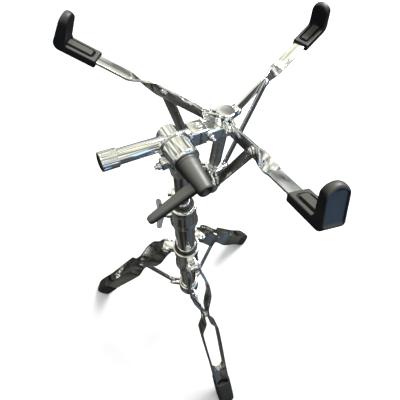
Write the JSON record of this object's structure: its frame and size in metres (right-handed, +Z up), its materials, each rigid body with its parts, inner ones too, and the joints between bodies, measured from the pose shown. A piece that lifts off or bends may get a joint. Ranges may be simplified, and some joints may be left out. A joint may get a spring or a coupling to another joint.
{
  "type": "snare drum stand",
  "caption": "Folding chrome tripod stand: telescoping tube, tilting clamp head with a sliding boom, and a basket of swinging arms with rubber claws that grip a snare drum from below.",
  "frame": {"origin": "centre of the bounding box on the floor, under the feet", "axes": "+Z up along the base tube; leg 1 points to -X, and the tilter handle points to +X and -Y"},
  "size_m": [0.4196, 0.4342, 0.7032],
  "materials": {
    "black_plastic": "matte black moulded nylon",
    "chrome": "bright polished chrome plate",
    "dark_chrome": "polished chrome plate with a slightly smoky cast",
    "fastener_chrome": "bright chrome plate on small fasteners",
    "handle_plastic": "satin olive-black moulded nylon",
    "rubber_claw": "moulded matte black rubber",
    "rubber_foot": "moulded matte black rubber",
    "steel": "plain turned steel"
  },
  "bodies": {
    "base": {"base_tube": "chrome", "base_tube_plug": "black_plastic", "brace_collar": "chrome", "height_clamp": "chrome", "height_clamp_insert": "black_plastic", "clamp_key_bolt": "fastener_chrome"},
    "leg_collar": {"leg_collar": "chrome", "leg_collar_insert": "black_plastic"},
    "leg_lock": {"leg_lock_screw": "fastener_chrome"},
    "leg_1": {"leg_strap_1": "dark_chrome", "foot_1": "rubber_foot", "leg_hinge_pin_1": "fastener_chrome", "leg_rivet_1": "fastener_chrome"},
    "leg_brace_1": {"leg_brace_1": "dark_chrome"},
    "leg_2": {"leg_strap_2": "dark_chrome", "foot_2": "rubber_foot", "leg_hinge_pin_2": "fastener_chrome", "leg_rivet_2": "fastener_chrome"},
    "leg_brace_2": {"leg_brace_2": "dark_chrome"},
    "leg_3": {"leg_strap_3": "dark_chrome", "foot_3": "rubber_foot", "leg_hinge_pin_3": "fastener_chrome", "leg_rivet_3": "fastener_chrome"},
    "leg_brace_3": {"leg_brace_3": "dark_chrome"},
    "upper_tube": {"upper_tube": "chrome"},
    "wing_bolt": {"height_wing_bolt": "fastener_chrome"},
    "tilter": {"tilter_collar": "chrome", "tilter_collar_bolt": "fastener_chrome"},
    "tilter_head": {"tilter_head": "chrome", "clamp_shoe": "steel"},
    "tilt_handle": {"tilt_handle": "handle_plastic", "tilt_handle_stud": "steel"},
    "boom": {"boom_tube": "chrome", "boom_end_sleeve": "chrome", "boom_end_plug": "black_plastic"},
    "basket": {"basket_bracket": "chrome", "bracket_screw": "fastener_chrome", "bracket_bolt": "fastener_chrome", "hub": "chrome", "hub_cap": "chrome", "basket_tube": "dark_chrome"},
    "slider": {"slider_collar": "chrome"},
    "adjusting_nut": {"adjusting_nut": "chrome"},
    "arm_1": {"arm_1": "chrome", "claw_1": "rubber_claw", "arm_hinge_pin_1": "fastener_chrome", "arm_rivet_1": "fastener_chrome"},
    "basket_brace_1": {"basket_brace_1": "dark_chrome"},
    "arm_2": {"arm_2": "chrome", "claw_2": "rubber_claw", "arm_hinge_pin_2": "fastener_chrome", "arm_rivet_2": "fastener_chrome"},
    "basket_brace_2": {"basket_brace_2": "dark_chrome"},
    "arm_3": {"arm_3": "chrome", "claw_3": "rubber_claw", "arm_hinge_pin_3": "fastener_chrome", "arm_rivet_3": "fastener_chrome"},
    "basket_brace_3": {"basket_brace_3": "dark_chrome"}
  },
  "joints": [
    {"name": "leg_collar_slide", "type": "slide", "parent": "base", "child": "leg_collar", "axis": [0, 0, 1], "range_m": [0, 0.03253]},
    {"name": "leg_1_fold", "type": "hinge", "parent": "leg_collar", "child": "leg_1", "pos_m": [-0.0018, 0.01344, 0.345], "axis": [-0.1132, -0.9936, 0], "range_deg": [0, 24]},
    {"name": "leg_brace_1_swing", "type": "hinge", "parent": "leg_1", "child": "leg_brace_1", "pos_m": [-0.05953, 0.02002, 0.2423], "axis": [-0.1132, -0.9936, 0], "range_deg": [-51.75, 0]},
    {"name": "leg_2_fold", "type": "hinge", "parent": "leg_collar", "child": "leg_2", "pos_m": [0.05221, 0.03692, 0.345], "axis": [-0.8039, 0.5948, 0], "range_deg": [0, 24]},
    {"name": "leg_brace_2_swing", "type": "hinge", "parent": "leg_2", "child": "leg_brace_2", "pos_m": [0.08677, 0.08363, 0.2423], "axis": [-0.8039, 0.5948, 0], "range_deg": [-51.75, 0]},
    {"name": "leg_3_fold", "type": "hinge", "parent": "leg_collar", "child": "leg_3", "pos_m": [0.04554, -0.02159, 0.345], "axis": [0.9171, 0.3987, 0], "range_deg": [0, 24]},
    {"name": "leg_brace_3_swing", "type": "hinge", "parent": "leg_3", "child": "leg_brace_3", "pos_m": [0.06871, -0.07488, 0.2423], "axis": [0.9171, 0.3987, 0], "range_deg": [-51.75, 0]},
    {"name": "leg_lock_turn", "type": "hinge", "parent": "leg_collar", "child": "leg_lock", "pos_m": [0.02002, 0.0371, 0.312], "axis": [-0.3987, 0.9171, 0], "continuous": true},
    {"name": "height_slide", "type": "slide", "parent": "base", "child": "upper_tube", "axis": [0, 0, 1], "range_m": [-0.005, 0.12]},
    {"name": "height_wing_turn", "type": "hinge", "parent": "base", "child": "wing_bolt", "pos_m": [0.00215, 0.00646, 0.476], "axis": [-0.9945, -0.1045, 0], "continuous": true},
    {"name": "tilter_swivel", "type": "hinge", "parent": "upper_tube", "child": "tilter", "pos_m": [0.03198, 0.00959, 0.572], "axis": [0, 0, 1], "range_deg": [-150, 40]},
    {"name": "tilt", "type": "hinge", "parent": "tilter", "child": "tilter_head", "pos_m": [0.03198, 0.00959, 0.606], "axis": [0.527, -0.8499, 0], "range_deg": [-3, 70]},
    {"name": "tilt_handle_turn", "type": "hinge", "parent": "tilter_head", "child": "tilt_handle", "pos_m": [0.03198, 0.00959, 0.606], "axis": [0.527, -0.8499, 0], "range_deg": [-120, 120]},
    {"name": "boom_slide", "type": "slide", "parent": "tilter_head", "child": "boom", "axis": [0.8394, 0.5205, -0.1564], "range_m": [-0.0015, 0.036]},
    {"name": "basket_roll", "type": "hinge", "parent": "boom", "child": "basket", "pos_m": [0.0784, 0.06049, 0.5955], "axis": [0.8394, 0.5205, -0.1564], "range_deg": [-5, 12]},
    {"name": "slider_slide", "type": "slide", "parent": "basket", "child": "slider", "axis": [0.1098, 0.1194, 0.9867], "range_m": [-0.00405, 0.02188]},
    {"name": "adjusting_nut_turn", "type": "hinge", "parent": "slider", "child": "adjusting_nut", "pos_m": [0.06745, 0.04859, 0.49712], "axis": [0.1098, 0.1194, 0.9867], "continuous": true},
    {"name": "arm_1_raise", "type": "hinge", "parent": "basket", "child": "arm_1", "pos_m": [0.05891, 0.06523, 0.60754], "axis": [0.1542, 0.9787, -0.1356], "range_deg": [-8, 45]},
    {"name": "basket_brace_1_swing", "type": "hinge", "parent": "arm_1", "child": "basket_brace_1", "pos_m": [0.01129, 0.07562, 0.62836], "axis": [0.1542, 0.9787, -0.1356], "range_deg": [-31.52, 5.69]},
    {"name": "arm_2_raise", "type": "hinge", "parent": "basket", "child": "arm_2", "pos_m": [0.09265, 0.07777, 0.60227], "axis": [0.7733, -0.634, -0.0093], "range_deg": [-8, 45]},
    {"name": "basket_brace_2_swing", "type": "hinge", "parent": "arm_2", "child": "basket_brace_2", "pos_m": [0.12591, 0.11821, 0.61044], "axis": [0.7733, -0.634, -0.0093], "range_deg": [-31.52, 5.69]},
    {"name": "arm_3_raise", "type": "hinge", "parent": "basket", "child": "arm_3", "pos_m": [0.08704, 0.04217, 0.6072], "axis": [-0.9274, -0.3447, 0.145], "range_deg": [-8, 45]},
    {"name": "basket_brace_3_swing", "type": "hinge", "parent": "arm_3", "child": "basket_brace_3", "pos_m": [0.10686, -0.00273, 0.6272], "axis": [-0.9274, -0.3447, 0.145], "range_deg": [-31.52, 5.69]}
  ],
  "couplings": [
    {"joint": "leg_brace_1_swing", "follows": "leg_1_fold", "ratio": -2.152},
    {"joint": "leg_brace_2_swing", "follows": "leg_1_fold", "ratio": -2.152},
    {"joint": "leg_2_fold", "follows": "leg_1_fold", "ratio": 1},
    {"joint": "leg_brace_3_swing", "follows": "leg_1_fold", "ratio": -2.152},
    {"joint": "leg_3_fold", "follows": "leg_1_fold", "ratio": 1},
    {"joint": "leg_collar_slide", "follows": "leg_1_fold", "m_per_rad": 0.077179},
    {"joint": "slider_slide", "follows": "arm_1_raise", "m_per_rad": 0.027599},
    {"joint": "basket_brace_1_swing", "follows": "arm_1_raise", "ratio": -0.69825},
    {"joint": "basket_brace_2_swing", "follows": "arm_1_raise", "ratio": -0.69825},
    {"joint": "arm_2_raise", "follows": "arm_1_raise", "ratio": 1},
    {"joint": "basket_brace_3_swing", "follows": "arm_1_raise", "ratio": -0.69825},
    {"joint": "arm_3_raise", "follows": "arm_1_raise", "ratio": 1}
  ]
}
